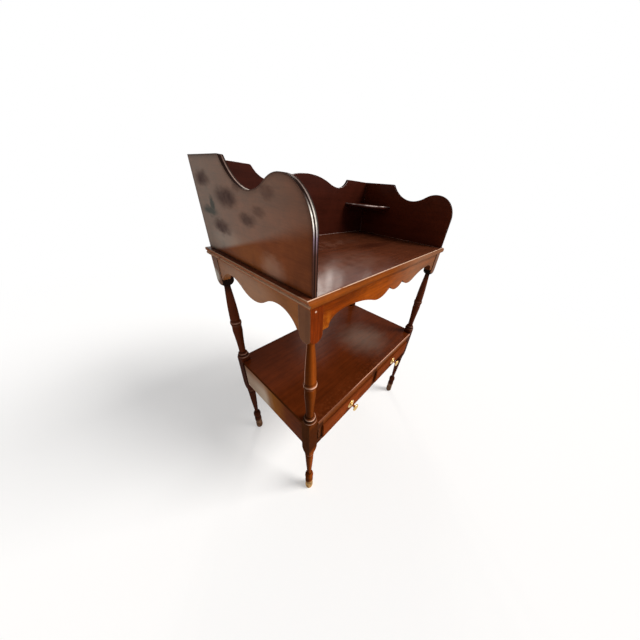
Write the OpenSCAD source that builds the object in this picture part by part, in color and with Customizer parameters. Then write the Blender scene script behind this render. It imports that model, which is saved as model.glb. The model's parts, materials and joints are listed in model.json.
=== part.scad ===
// Washstand on four turned legs: a shaped gallery round the top, shaped aprons,
// and a low shelf with two small drawers under it.
// Millimetres, +Z up, the front faces -Y, the floor is z = 0.

/* [Frame] */
// Width over the square blocks of the legs
frame_w = 630; // [580:1:760]
// Depth over the square blocks of the legs
frame_d = 359; // [335:1:420]
// Side of the square blocks
block = 30; // [29:0.5:32]
// Height of the upper face of the top
top_h = 777; // [740:1:810]

/* [Top] */
// Thickness of the top
top_t = 17; // [14:0.5:22]
// Overhang of the top past the blocks at each end
over_end = 8; // [6:0.5:14]
// Overhang of the top past the blocks at the front
over_front = 7; // [5:0.5:14]
// Overhang of the top past the blocks at the back
over_back = 2; // [0:0.5:6]

/* [Gallery] */
// Height of the flat parts of the gallery above the top
gallery_h = 173; // [165:1:190]
// Thickness of the two gallery ends
end_t = 10; // [8:0.5:12]
// Thickness of the gallery back
back_t = 9; // [8:0.5:12]
// Radius of the hump at the front of each end
hump_r = 66; // [60:1:72]
// Depth of the hump's centre below the flat part
hump_drop = 85.5; // [82:0.5:90]
// Radius of the scoop behind the hump
scoop_r = 91; // [86:1:96]
// Depth of the scoop below the flat part
scoop_drop = 44.5; // [42:0.5:47]
// Depth of the two dips in the back's upper edge
dip_drop = 27; // [20:1:32]
// Distance of each dip from the middle of the back
dip_x = 138; // [125:1:150]
// Radius of the quarter-round corner shelves
corner_r = 121; // [90:1:126]
// Height of the corner shelves above the top
corner_h = 103; // [80:1:112]

/* [Aprons] */
// Height of the aprons at their feet
apron_h = 57; // [52:0.5:64]
// Thickness of the aprons
apron_t = 18; // [16:0.5:20]
// Setback of the front and back aprons from the blocks
recess_front = 3; // [2:0.5:4]
// Setback of the side aprons from the blocks
recess_side = 1; // [0.5:0.5:3]
// Rise of the arches beside the front legs
arch_rise = 26; // [20:1:28]
// Rise of the arches of the side aprons
side_rise = 29; // [22:1:31]

/* [Lower tier] */
// Height of the upper face of the low shelf
shelf_h = 410; // [380:1:430]
// Thickness of the low shelf
shelf_t = 12; // [10:0.5:14]
// Height of the drawer case under the shelf
case_h = 98; // [92:1:110]
// Thickness of the case boards
board_t = 12; // [10:0.5:13]
// Setback of the case boards from the blocks
board_in = 4; // [3:0.5:5]
// Height of the rail under the drawers
rail_low = 20; // [16:1:22]
// Height of the rail over the drawers
rail_high = 26; // [20:1:28]
// Width of the stiles beside the blocks
stile_w = 23; // [20:1:28]
// Setback of the stiles from the rails
stile_in = 2; // [1:0.5:3]
// Width of the groove between a side stile and its block
quirk_w = 6; // [4:0.5:8]
// Width of the stile between the drawers
middle_w = 38; // [34:1:44]

/* [Drawers] */
// Play between a drawer and its opening
play = 0.4; // [0.3:0.1:0.6]
// How far a drawer front stands proud of the frame
proud = 6; // [5:0.5:8]
// How far the lip of a drawer front laps the frame
lap = 4; // [3:0.5:5]
// Thickness of the drawer sides
side_t = 9; // [8:0.5:10]
// Length of the drawer box behind its front
box_l = 308; // [240:1:310]
// Radius of the brass plate behind a knob
plate_r = 14.5; // [12:0.5:16]
// Radius of a knob
knob_r = 12; // [9:0.5:13]
// Reach of a knob from the drawer front
knob_reach = 24; // [20:0.5:28]

/* [Hidden] */
$fn = 48;

// Outer and inner faces of the blocks, and the leg axes
xo = frame_w / 2;
yo = frame_d / 2;
xi = xo - block;
yi = yo - block;
ax = xo - block / 2;
ay = yo - block / 2;
// Shift that puts the middle of the whole depth on y = 0
kr = block / 30;
ring_r = 17.5 * kr;
back_reach = max(yo + over_back, ay + ring_r);
shift = (yo + proud + knob_reach - back_reach) / 2;
// Heights that several pieces share
total_h = top_h + gallery_h;
under = top_h - top_t;
foot = under - apron_h;
shelf_low = shelf_h - shelf_t;
case_z = shelf_low - case_h;
open_lo = case_z + rail_low;
open_hi = shelf_low - rail_high;
// Square parts of the legs
block_a = case_z - 4;
block_b = shelf_h + 6;
block_c = foot - 3;
corner = block * 0.71;
// Gallery boards
end_x = xo - board_in;
end_y = -yo + 0.5;
back_y = yo + 0.5;
inner_y = back_y - back_t;
// Case boards and rails
case_x = xo - board_in - board_t;
case_y = yo - board_in - board_t;
rail_d = 22;
low_d = 40;
// Tenons of the aprons
tenon_t = 8;
tenon_lo = foot + 5;
tenon_hi = under - 4;
pin_z = under - 9;
pin_x = xi + block * 0.6;
pin_r = 2;
pin_l = recess_front + apron_t - 4;
// Length of a tenon inside its own board
root = 3;
// Drawer, drawn for the right opening
open_x0 = middle_w / 2;
open_x1 = xi - stile_w;
box_x0 = open_x0 + play;
box_x1 = open_x1 - play;
box_z = open_lo + 0.3;
box_top = open_hi - 1.3;
front_in = 12;
box_y = -yo + front_in;
box_end = box_y + box_l;
panel_z = box_z + 6;
panel_t = 4;
groove = 3;
knob_x = (open_x0 + open_x1) / 2;
knob_z = (open_lo + open_hi) / 2;
knob_y = -yo - proud;

// Woods and metals
red = [0.38, 0.15, 0.07];
warm = [0.45, 0.20, 0.09];
deep = [0.24, 0.09, 0.05];
pale = [0.66, 0.50, 0.32];
brass = [0.80, 0.64, 0.34];
iron = [0.42, 0.40, 0.38];

// Points of an arc about c from angle a to angle b
function arc(c, r, a, b, n = 12) = oval(c, r, r, a, b, n);
// Points of an upright oval's arc
function oval(c, rx, ry, a, b, n = 12) =
    [for (i = [0 : n]) c + [rx * cos(a + (b - a) * i / n), ry * sin(a + (b - a) * i / n)]];
// An outline in reverse order on the other side of the vertical axis
function flip(p) = [for (i = [len(p) - 1 : -1 : 0]) [-p[i][0], p[i][1]]];
// Two radii that join smoothly over a run and a rise add up to this
function join(run, rise) = (run * run + rise * rise) / (2 * rise);
// Radius of an arc that starts level and reaches a run and a rise
function dish(run, rise) = (run * run + rise * rise) / (2 * rise);

// Everything is drawn about the middle of the frame, then set in place
module place() translate([0, shift, 0]) children();

// A box between two opposite corners
module box(a, b) translate([min(a[0], b[0]), min(a[1], b[1]), min(a[2], b[2])])
    cube([abs(a[0] - b[0]), abs(a[1] - b[1]), abs(a[2] - b[2])]);

// An outline in (x, z) drawn through from y to y + d
module along_y(y, d) translate([0, y + d, 0]) rotate([90, 0, 0]) linear_extrude(d) children();

// An outline in (y, z) drawn through from x to x + d
module along_x(x, d) translate([x, 0, 0]) rotate([90, 0, 90]) linear_extrude(d) children();

// Turned leg: radii follow the block, heights the lengths between the blocks
kl = block_a / 296;
ku = (block_c - block_b) / 284;
function low(p) = [for (q = p) [q[0] * kr, q[1] * kl]];
function high(p) = [for (q = p) [q[0] * kr, block_b + q[1] * ku]];

turning = concat(
    [[0, 0]],
    low(oval([9.5, 14], 3.5, 14, -90, 0, 6)),
    low(oval([11.4, 14], 1.6, 22, 15, 90, 5)),
    low(oval([11, 56], 2.2, 18, -90, 90, 10)),
    low(oval([11.4, 92], 2.4, 14, -90, 0, 6)),
    low(oval([6.6, 92], 7.2, 16.5, 12, 90, 9)),
    low([[6.3, 109.5], [6.3, 112], [9, 158], [11, 198], [12.4, 238]]),
    low([[11.2, 240.5], [11.2, 245.5], [13.4, 248], [13.4, 262]]),
    low([[12, 262.5]]),
    high([[12, 8.5]]),
    high(oval([15.5, 13], 2, 4, -90, 90, 8)),
    high(oval([13, 22.5], 1.5, 2.5, -90, 90, 6)),
    high([[9.5, 27], [9.5, 29]]),
    high([for (i = [0 : 8]) [14 - 4.1 * cos(90 * i / 8), 30 + 84 * i / 8]]),
    high(oval([12.6, 114], 1.4, 18, 18, 90, 4)),
    high([[14, 133], [14, 136]]),
    high(oval([13.6, 143.5], 2.1, 6.5, -90, 90, 8)),
    high([for (i = [0 : 9]) [8 + 5.4 * cos(90 * i / 9), 151 + 105 * i / 9]]),
    high([[8, 284], [0, 284]]));

// Outline that the shoulders of a square block are turned to
module shoulders(z0, z1, h0, r0, h1, r1) {
    lo = oval([0, z0], corner, h0, -acos(r0 / corner), 0, 9);
    hi = oval([0, z1], corner, h1, 0, acos(r1 / corner), 6);
    rotate_extrude($fn = 96) polygon(concat([[0, lo[0][1]]], lo, hi, [[0, hi[6][1]]]));
}

module leg_blank() {
    rotate_extrude($fn = 64) polygon(turning);
    intersection() {
        box([-block / 2, -block / 2, 0], [block / 2, block / 2, under]);
        shoulders(block_a, block_b, 42 * kl, 12.2 * kr, 14.75 * ku, 16.8 * kr);
    }
    intersection() {
        box([-block / 2, -block / 2, 0], [block / 2, block / 2, under]);
        shoulders(block_c, under, 21.8 * ku, 8.2 * kr, 1, corner);
    }
}

// Tenons, each named for the piece that it belongs to and rooted inside it
module apron_tenon(sx, sy) {
    y = yo - recess_front - (apron_t - tenon_t) / 2;
    box([sx * (xi - root), sy * y, tenon_lo], [sx * (xi + 22), sy * (y - tenon_t), tenon_hi]);
}
module side_tenon(sx, sy) {
    x = xo - recess_side - (apron_t - tenon_t) / 2;
    box([sx * x, sy * (yi - root), tenon_lo], [sx * (x - tenon_t), sy * (yi + 12), tenon_hi]);
}
module case_tenon(sx, sy)
    box([sx * (case_x + 3), sy * (yi - root), case_z + 12],
        [sx * (case_x + 9), sy * (yi + 10), shelf_low - 10]);
module case_back_tenon(sx)
    box([sx * (xi - root), case_y + 3, case_z + 12], [sx * (xi + 8), case_y + 9, shelf_low - 10]);
module rail_tenon(sx, z0, z1)
    box([sx * (xi - root), -yo + 7, z0], [sx * (xi + 12), -yo + 15, z1]);
module rail_tenons(sx) {
    rail_tenon(sx, open_hi + 5, shelf_low - 5);
    rail_tenon(sx, case_z + 4, open_lo - 4);
}

module apron_pin(sx) translate([sx * pin_x, -yo, pin_z]) rotate([-90, 0, 0])
    cylinder(r = pin_r, h = pin_l);

module leg(sx, sy) place() difference() {
    translate([sx * ax, sy * ay, 0]) leg_blank();
    apron_tenon(sx, sy);
    side_tenon(sx, sy);
    case_tenon(sx, sy);
    if (sy > 0) {
        case_back_tenon(sx);
    } else {
        rail_tenons(sx);
        apron_pin(sx);
    }
}

module leg_front_left() color(red) leg(-1, -1);
module leg_front_right() color(red) leg(1, -1);
module leg_back_left() color(red) leg(-1, 1);
module leg_back_right() color(red) leg(1, 1);

// Lower edge of the front apron, from the middle to the right block
cusp_x = 36;
cusp_z = 19;
lobe_z = 3;
sweep_x = 85;
foot_w = 19;
arch_w = 46;
arch_x = xi - foot_w - arch_w;
lobe_r = dish(cusp_x, cusp_z - lobe_z);
sweep_r = dish(sweep_x - cusp_x, cusp_z);
rise_a = atan2(join(arch_x - sweep_x, arch_rise) - arch_rise, arch_x - sweep_x);
arch_r = join(arch_x - sweep_x, arch_rise) - sweep_r;
front_edge = concat(
    arc([0, foot + lobe_z + lobe_r], lobe_r, -90, -asin(1 - (cusp_z - lobe_z) / lobe_r), 8),
    arc([sweep_x, foot + sweep_r], sweep_r, -180 + asin(1 - cusp_z / sweep_r), -rise_a, 16),
    arc([arch_x, foot + arch_rise - arch_r], arch_r, 180 - rise_a, 90, 8),
    oval([arch_x, foot + 3], arch_w, arch_rise - 3, 90, 0, 12),
    arc([arch_x + arch_w + 3, foot + 3], 3, 180, 270, 4),
    [[xi, foot]]);

// Lower edge of a side apron, from the middle to a block
side_foot = 6.5;
side_arch = yi - side_foot - 51;
end_r = 59;
swing = join(side_arch, side_rise) / 2;
side_a = atan2(2 * swing - side_rise, side_arch);
side_b = asin((end_r - side_rise - 0.3) / end_r);
side_edge = concat(
    arc([0, foot + 0.5 + swing], swing, -90, -side_a, 8),
    arc([side_arch, foot + 0.5 + side_rise - swing], swing, 180 - side_a, 90, 8),
    arc([side_arch, foot + 0.5 + side_rise - end_r], end_r, 90, side_b, 12),
    [[yi - side_foot, foot], [yi, foot]]);

module apron_front() place() color(warm) difference() {
    union() {
        along_y(-yo + recess_front, apron_t)
            polygon(concat(front_edge, [[xi, under], [-xi, under]], flip(front_edge)));
        apron_tenon(-1, -1);
        apron_tenon(1, -1);
    }
    apron_pin(-1);
    apron_pin(1);
}

module apron_back() place() color(red) {
    box([-xi, yo - recess_front, foot], [xi, yo - recess_front - apron_t, under]);
    apron_tenon(-1, 1);
    apron_tenon(1, 1);
}

module apron_side(s) place() color(red) {
    along_x(s > 0 ? xo - recess_side - apron_t : -xo + recess_side, apron_t)
        polygon(concat(side_edge, [[yi, under], [-yi, under]], flip(side_edge)));
    side_tenon(s, -1);
    side_tenon(s, 1);
}
module apron_left() apron_side(-1);
module apron_right() apron_side(1);

module apron_pins() place() color(pale) {
    apron_pin(-1);
    apron_pin(1);
}

// Top: the front is a round nose, the ends carry a small bead and quirk
top_x = xo + over_end;
nose_r = top_t / 2;
nose_edge = concat(
    arc([-yo - over_front + nose_r, top_h - nose_r], nose_r, 90, 270, 14),
    [[yo + over_back, under], [yo + over_back, top_h]]);
bead_edge = concat(
    [[top_x - 6, under], [top_x - 5.8, under + 1.2]],
    arc([top_x - 4.7, top_h - 11.8], 3.9, -90, 62, 8),
    [[top_x - 2.7, top_h - 6.4], [top_x, top_h - 5.8]],
    arc([top_x - 1.8, top_h - 1.8], 1.8, 0, 90, 5));

gallery_ends_y = [-140, -20, 100];
gallery_back_x = [-240, -90, 90, 240];
// A countersunk screw of length l; a hole for it starts a little below the head
module screw(l, below = 0) rotate_extrude($fn = 32) polygon(concat(
    below > 0 ? [[0, -below], [4, -below]] : [[0, 0]],
    [[4, 0], [2, 2.5], [2, l - 4], [0, l]]));
module gallery_fixings(below = 0) {
    for (s = [-1, 1], y = gallery_ends_y)
        translate([s * (end_x - end_t / 2), y, under]) screw(top_t + 28, below);
    for (x = gallery_back_x)
        translate([x, back_y - back_t / 2, under]) screw(top_t + 28, below);
}
glue_h = 30;
glue_x = xi - 13;
glue_y = yi - 11;
module top_fixings(below = 0) for (sx = [-1, 1], sy = [-1, 1])
    translate([sx * glue_x, sy * glue_y, under - glue_h]) screw(glue_h + 10, below);

module tabletop() place() color(red) difference() {
    intersection() {
        along_x(-top_x, 2 * top_x) polygon(nose_edge);
        along_y(-yo - over_front, 2 * yo + over_front + over_back)
            polygon(concat(bead_edge, flip(bead_edge)));
    }
    gallery_fixings(1);
    top_fixings(1);
}

module top_screws() place() color(iron) top_fixings();
module gallery_screws() place() color(iron) gallery_fixings();

// Gallery end: straight nose, round hump, scoop, then a flat run to the back
hump_y = end_y + hump_r;
hump_z = total_h - hump_drop;
scoop_z = total_h - scoop_drop + scoop_r;
scoop_y = hump_y + sqrt(pow(hump_r + scoop_r, 2) - pow(scoop_z - hump_z, 2));
end_a = atan2(scoop_z - hump_z, scoop_y - hump_y);
ease = 5;
ease_y = scoop_y + sqrt(pow(scoop_r + ease, 2) - pow(scoop_z - total_h + ease, 2));
ease_a = atan2(scoop_z - total_h + ease, ease_y - scoop_y);
end_edge = concat(
    [[end_y, top_h]],
    arc([hump_y, hump_z], hump_r, 180, end_a, 20),
    arc([scoop_y, scoop_z], scoop_r, end_a - 180, -ease_a, 18),
    arc([ease_y, total_h - ease], ease, 180 - ease_a, 90, 5),
    [[back_y, total_h], [back_y, top_h]]);

module gallery_end(s) place() color(s > 0 ? deep : red) difference() {
    along_x(s > 0 ? end_x - end_t : -end_x, end_t) polygon(end_edge);
    gallery_fixings();
}
module gallery_left() gallery_end(-1);
module gallery_right() gallery_end(1);

// Gallery back: a low hump in the middle between two dips
crown_r = 240;
dip_r = join(dip_x, dip_drop) - crown_r;
crown_a = atan2(join(dip_x, dip_drop) - dip_drop, dip_x);
dip_out = 54;
ease_b = 6;
flat_x = dip_x + sqrt(pow(dip_out + ease_b, 2) - pow(dip_out - dip_drop + ease_b, 2));
flat_a = atan2(dip_out - dip_drop + ease_b, flat_x - dip_x);
back_edge = concat(
    arc([0, total_h - crown_r], crown_r, 90, crown_a, 10),
    arc([dip_x, total_h - dip_drop + dip_r], dip_r, crown_a - 180, -90, 8),
    arc([dip_x, total_h - dip_drop + dip_out], dip_out, -90, -flat_a, 10),
    arc([flat_x, total_h - ease_b], ease_b, 180 - flat_a, 90, 5),
    [[end_x - end_t, total_h], [end_x - end_t, top_h]]);

module gallery_back() place() color(deep) difference() {
    along_y(inner_y, back_t) polygon(concat(back_edge, flip(back_edge)));
    gallery_fixings();
}

// Corner shelves: quarter rounds between the ends and the back
corner_t = 9;
corner_edge = concat(
    [[0, 0]],
    arc([corner_r - 3, 3], 3, -90, 0, 5),
    arc([corner_r - 3, corner_t - 3], 3, 0, 90, 5),
    [[0, corner_t]]);
module corner_shelf(s) place() color(deep)
    translate([s * (end_x - end_t), inner_y, top_h + corner_h - corner_t])
        rotate([0, 0, s > 0 ? 180 : 270]) rotate_extrude(angle = 90, $fn = 96) polygon(corner_edge);
module corner_shelf_left() corner_shelf(-1);
module corner_shelf_right() corner_shelf(1);

// Glue blocks that hold the top down, one in each corner of the frame
module glue_block(sx, sy) place() color(pale) difference() {
    y = yo - recess_front - apron_t;
    x = xo - recess_side - apron_t;
    translate([0, 0, under - glue_h]) linear_extrude(glue_h)
        polygon([[sx * xi, sy * y], [sx * (xi - 40), sy * y], [sx * x, sy * (y - 51)],
            [sx * x, sy * yi], [sx * xi, sy * yi]]);
    top_fixings(1);
}
module glue_block_front_left() glue_block(-1, -1);
module glue_block_front_right() glue_block(1, -1);
module glue_block_back_left() glue_block(-1, 1);
module glue_block_back_right() glue_block(1, 1);

// Low shelf, notched round the four blocks
shelf_front = -yo - 2.5;
shelf_edge = concat(
    arc([shelf_front + 4, shelf_h - 4], 4, 90, 180, 6),
    arc([shelf_front + 4, shelf_low + 4], 4, 180, 270, 6),
    [[yo + 0.5, shelf_low], [yo + 0.5, shelf_h]]);
module low_shelf() place() color(warm) difference() {
    along_x(-end_x, 2 * end_x) polygon(shelf_edge);
    for (sx = [-1, 1], sy = [-1, 1])
        box([sx * xi, sy * yi, shelf_low - 1], [sx * (xo + 1), sy * (yo + 5), shelf_h + 1]);
}

// Boards round the drawers
module case_side(s) place() color(red) {
    box([s * case_x, -yi, case_z], [s * (case_x + board_t), yi, shelf_low]);
    case_tenon(s, -1);
    case_tenon(s, 1);
}
module case_left() case_side(-1);
module case_right() case_side(1);
module case_back() place() color(pale) {
    box([-xi, case_y, case_z], [xi, case_y + board_t, shelf_low]);
    case_back_tenon(-1);
    case_back_tenon(1);
}

// Stub tenons of the middle stile
module stub(z0, z1) box([-10, -yo + 7, z0], [10, -yo + 15, z1]);
module rail_upper() place() color(red) difference() {
    union() {
        box([-xi, -yo, open_hi], [xi, -yo + rail_d, shelf_low]);
        rail_tenon(-1, open_hi + 5, shelf_low - 5);
        rail_tenon(1, open_hi + 5, shelf_low - 5);
    }
    stub(open_hi - 1, open_hi + 6);
}
module rail_lower() place() color(red) difference() {
    union() {
        box([-xi, -yo, case_z], [xi, -yo + low_d, open_lo]);
        rail_tenon(-1, case_z + 4, open_lo - 4);
        rail_tenon(1, case_z + 4, open_lo - 4);
    }
    stub(open_lo - 6, open_lo + 1);
}
quirk_d = 6;
module stile_side(s) place() color(red) difference() {
    box([s * open_x1, -yo + stile_in, open_lo], [s * xi, -yo + rail_d, open_hi]);
    box([s * (xi - quirk_w), -yo, open_lo - 1], [s * (xi + 1), -yo + stile_in + quirk_d, open_hi + 1]);
}
module stile_left() stile_side(-1);
module stile_right() stile_side(1);
module stile_middle() place() color(red) {
    box([-open_x0, -yo + stile_in, open_lo], [open_x0, -yo + rail_d, open_hi]);
    stub(open_lo - 6, open_hi + 6);
}

// Runners carry the drawers, guides keep them straight, kickers keep them level
runner_t = 12;
guide_h = 26;
module runner_side(s) place() color(pale)
    box([s * (open_x1 - 14), -yo + low_d, open_lo - runner_t], [s * case_x, yi, open_lo]);
module runner_left() runner_side(-1);
module runner_right() runner_side(1);
module runner_middle() place() color(pale)
    box([-open_x0 - 14, -yo + low_d, open_lo - runner_t], [open_x0 + 14, case_y, open_lo]);
module guide_side(s) place() color(pale)
    box([s * open_x1, -yi, open_lo], [s * case_x, yi, open_lo + guide_h]);
module guide_left() guide_side(-1);
module guide_right() guide_side(1);
module guide_middle() place() color(pale)
    box([-open_x0, -yo + rail_d, open_lo], [open_x0, case_y, open_lo + guide_h]);
module kicker(x0, x1) place() color(pale)
    box([x0, -yo + rail_d, open_hi], [x1, case_y, shelf_low]);
module kicker_left() kicker(-open_x1 - 8, -open_x1 + 14);
module kicker_right() kicker(open_x1 - 14, open_x1 + 8);
module kicker_middle() kicker(-open_x0 - 14, open_x0 + 14);

// Drawer pieces, drawn for the right drawer; s = -1 draws the left one
module side_of(s) place() mirror([s < 0 ? 1 : 0, 0, 0]) children();

// Three tails at the front end of a drawer side
tail_step = (box_top - box_z) / 3;
module tails(x) for (i = [0 : 2]) {
    z = box_z + tail_step * (i + 0.5);
    along_x(x, side_t) polygon([[box_y + root, z - 4.5], [box_y + root, z + 4.5], [box_y, z + 4.5],
        [box_y - 9, z + 6], [box_y - 9, z - 6], [box_y, z - 4.5]]);
}
module drawer_panel()
    box([box_x0 + side_t - groove, box_y - groove, panel_z],
        [box_x1 - side_t + groove, box_end - 3, panel_z + panel_t]);
module drawer_end()
    box([box_x0 + side_t - groove, box_end - 12, panel_z + panel_t],
        [box_x1 - side_t + groove, box_end - 4, box_top - 5]);
module knob_bore(r) translate([knob_x, knob_y - 2, knob_z]) rotate([-90, 0, 0])
    cylinder(r = r, h = proud + front_in + 8);

// Lip of a drawer front with its rounded arrises
lip_r = 2;
module lip() intersection() {
    along_x(open_x0 - lap, open_x1 - open_x0 + 2 * lap) polygon(concat(
        [[-yo - 0.3, open_hi + lap]],
        arc([knob_y + lip_r, open_hi + lap - lip_r], lip_r, 90, 180, 5),
        arc([knob_y + lip_r, open_lo - lap + lip_r], lip_r, 180, 270, 5),
        [[-yo - 0.3, open_lo - lap]]));
    translate([0, 0, open_lo - lap]) linear_extrude(open_hi - open_lo + 2 * lap) polygon(concat(
        [[open_x0 - lap, -yo - 0.3]],
        arc([open_x0 - lap + lip_r, knob_y + lip_r], lip_r, 180, 270, 5),
        arc([open_x1 + lap - lip_r, knob_y + lip_r], lip_r, 270, 360, 5),
        [[open_x1 + lap, -yo - 0.3]]));
}

module drawer_front(s) side_of(s) color(warm) difference() {
    union() {
        lip();
        box([box_x0, -yo - 0.3, box_z], [box_x1, box_y, box_top]);
    }
    tails(box_x0);
    tails(box_x1 - side_t);
    drawer_panel();
    knob_bore(2);
}
module drawer_side(s, x) side_of(s) color(pale) difference() {
    union() {
        box([x, box_y, box_z], [x + side_t, box_end, box_top]);
        tails(x);
    }
    drawer_panel();
    drawer_end();
}
module drawer_back(s) side_of(s) color(pale) drawer_end();
module drawer_bottom(s) side_of(s) color(pale) drawer_panel();

// Knob pieces are turned about a level axis at the middle of the front
module turned() translate([knob_x, knob_y, knob_z]) rotate([90, 0, 0]) rotate_extrude($fn = 64) children();
module knob_plate(s) side_of(s) color(brass) turned() polygon(concat(
    [[2, 0], [plate_r, 0], [plate_r, 0.5]],
    arc([plate_r - 1.6, 0.5], 0.9, 0, 90, 4),
    [[2, 1.4]]));
module knob(s) side_of(s) color(brass) turned() polygon(concat(
    [[0, -proud - front_in - 7], [2, -proud - front_in - 7], [2, 1.4]],
    arc([5.2, 2.6], 1.2, -90, 90, 5),
    [[3.9, 5.5], [3.7, 10.5], [5, knob_reach - 7.5]],
    oval([knob_r - 2.4, knob_reach - 4.5], 2.4, 2.2, -90, 0, 5),
    oval([0, knob_reach - 4.5], knob_r, 4.5, 8, 90, 9)));
module knob_nut(s) side_of(s) color(iron) difference() {
    box([knob_x - 4.5, box_y, knob_z - 4.5], [knob_x + 4.5, box_y + 4, knob_z + 4.5]);
    knob_bore(2);
}

module drawer_front_left() drawer_front(-1);
module drawer_outer_left() drawer_side(-1, box_x1 - side_t);
module drawer_inner_left() drawer_side(-1, box_x0);
module drawer_back_left() drawer_back(-1);
module drawer_bottom_left() drawer_bottom(-1);
module knob_plate_left() knob_plate(-1);
module knob_left() knob(-1);
module knob_nut_left() knob_nut(-1);
module drawer_front_right() drawer_front(1);
module drawer_outer_right() drawer_side(1, box_x1 - side_t);
module drawer_inner_right() drawer_side(1, box_x0);
module drawer_back_right() drawer_back(1);
module drawer_bottom_right() drawer_bottom(1);
module knob_plate_right() knob_plate(1);
module knob_right() knob(1);
module knob_nut_right() knob_nut(1);

leg_front_left();
leg_front_right();
leg_back_left();
leg_back_right();
apron_front();
apron_back();
apron_left();
apron_right();
tabletop();
gallery_left();
gallery_right();
gallery_back();
corner_shelf_left();
corner_shelf_right();
glue_block_front_left();
glue_block_front_right();
glue_block_back_left();
glue_block_back_right();
top_screws();
gallery_screws();
apron_pins();
low_shelf();
case_left();
case_right();
case_back();
rail_upper();
rail_lower();
stile_left();
stile_right();
stile_middle();
runner_left();
runner_right();
runner_middle();
guide_left();
guide_right();
guide_middle();
kicker_left();
kicker_right();
kicker_middle();
drawer_front_left();
drawer_outer_left();
drawer_inner_left();
drawer_back_left();
drawer_bottom_left();
knob_plate_left();
knob_left();
knob_nut_left();
drawer_front_right();
drawer_outer_right();
drawer_inner_right();
drawer_back_right();
drawer_bottom_right();
knob_plate_right();
knob_right();
knob_nut_right();
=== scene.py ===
# %% [markdown]
# # A washstand in polished red-brown wood
# This lesson dresses a washstand whose construction is already settled. The imported model
# brings every piece in at its real size and place, in metres, with the floor at z = 0 and
# the drawers facing -Y. We load it first.

# %% Load the construction
import json
import math
import bpy
from mathutils import Matrix, Vector


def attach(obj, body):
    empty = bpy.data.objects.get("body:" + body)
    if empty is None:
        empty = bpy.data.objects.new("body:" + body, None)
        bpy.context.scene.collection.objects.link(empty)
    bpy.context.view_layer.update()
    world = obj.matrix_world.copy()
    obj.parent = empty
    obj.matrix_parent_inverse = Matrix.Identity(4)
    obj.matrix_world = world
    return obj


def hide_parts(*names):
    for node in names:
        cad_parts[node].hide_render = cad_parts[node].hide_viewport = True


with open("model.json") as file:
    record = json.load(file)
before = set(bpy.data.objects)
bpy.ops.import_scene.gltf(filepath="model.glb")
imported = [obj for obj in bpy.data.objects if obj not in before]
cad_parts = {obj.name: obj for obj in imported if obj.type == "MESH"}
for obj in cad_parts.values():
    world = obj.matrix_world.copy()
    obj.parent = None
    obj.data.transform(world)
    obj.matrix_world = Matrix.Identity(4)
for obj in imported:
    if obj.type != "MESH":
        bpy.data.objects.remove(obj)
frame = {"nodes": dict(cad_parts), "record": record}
bpy.ops.object.select_all(action="DESELECT")
nodes = frame["nodes"]
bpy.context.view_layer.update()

# %% [markdown]
# ## The camera
# The photograph was taken from above the front left corner with a wide phone lens. Its
# place was worked out from the straight edges of the stand, so it is written down as
# numbers: where the lens was, which way it looked, and how many pixels its focal length
# spans in a picture 640 pixels wide. Blender wants that last one in millimetres on a
# 36 mm sensor, and the small offset of the optical centre as a shift.

# %% Camera at the photograph's place
picture = 640
focal_px = 201.22
centre_px = (338.56, 323.12)
lens_at = Vector((-0.49978, -0.36572, 0.91747))
yaw, pitch, roll = math.radians(52.31), math.radians(33.4), math.radians(5.84)

ahead = Vector((math.sin(yaw) * math.cos(pitch), math.cos(yaw) * math.cos(pitch), -math.sin(pitch)))
level = ahead.cross(Vector((0, 0, 1))).normalized()
upright = level.cross(ahead)
right = level * math.cos(roll) + upright * math.sin(roll)
up = upright * math.cos(roll) - level * math.sin(roll)

camera_data = bpy.data.cameras.new("photo_lens")
camera = bpy.data.objects.new("photo_camera", camera_data)
bpy.context.scene.collection.objects.link(camera)
camera.matrix_world = Matrix.Translation(lens_at) @ Matrix((right, up, -ahead)).transposed().to_4x4()
camera_data.sensor_width = 36
camera_data.lens = focal_px / picture * 36
camera_data.shift_x = -(centre_px[0] - picture / 2) / picture
camera_data.shift_y = (centre_px[1] - picture / 2) / picture
camera_data.clip_start = 0.01
bpy.context.scene.camera = camera
print("lens", round(camera_data.lens, 2), "mm at", [round(v, 3) for v in lens_at])

# %% [markdown]
# ## Rounding the arrises
# No edge on an old stand is sharp: long use has rounded every arris, and those small
# rounds are what catch the light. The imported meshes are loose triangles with
# sharp edges, so each piece that shows is copied, its triangles are merged and flat ones
# dissolved, and a narrow Bevel modifier rounds what is left. The copy stands for the node,
# which stays out of sight for the motion. Weighted normals keep the flats flat.

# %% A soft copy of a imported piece
bodies = frame["record"]["behaviour"]["bodies"]
body_of = {node: body for body, members in bodies.items() for node in members}
soft = {}

def pick(piece):
    bpy.ops.object.select_all(action="DESELECT")
    piece.select_set(True)
    bpy.context.view_layer.objects.active = piece

MERGE, FLAT, CORNER = 0.00002, math.radians(0.4), math.radians(38)

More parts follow.
